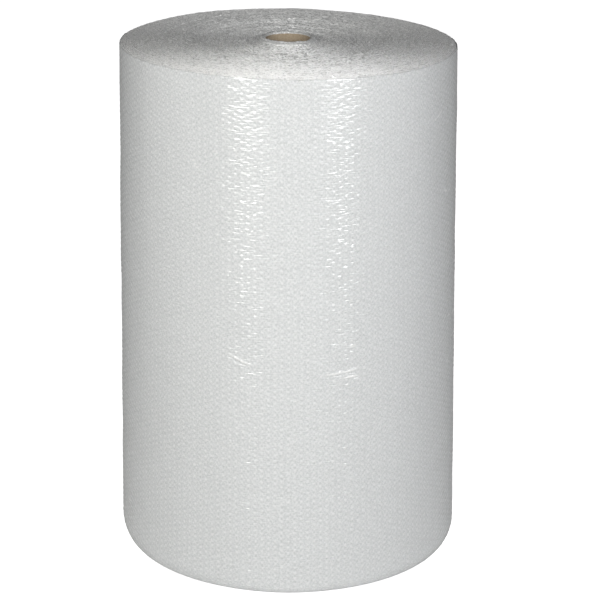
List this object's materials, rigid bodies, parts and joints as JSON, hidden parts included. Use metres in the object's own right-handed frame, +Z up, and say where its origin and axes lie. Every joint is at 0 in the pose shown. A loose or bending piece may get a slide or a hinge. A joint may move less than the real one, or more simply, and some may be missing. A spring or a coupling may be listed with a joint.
{
  "type": "bubble wrap roll",
  "caption": "Tall soft roll of clear air-bubble cushioning film wound on an open cardboard core, standing on one end.",
  "frame": {"origin": "on the core's axis, on the floor that the roll stands on", "axes": "+Z up along the core's axis, +Y towards the film's free end at the back"},
  "size_m": [0.6379, 0.64, 1],
  "materials": {
    "film": "clear polyethylene bubble film, milky in the roll",
    "core": "spiral-wound brown board, matt"
  },
  "bodies": {
    "root": {"bubble_film": "film", "core_tube": "core"}
  },
  "joints": []
}
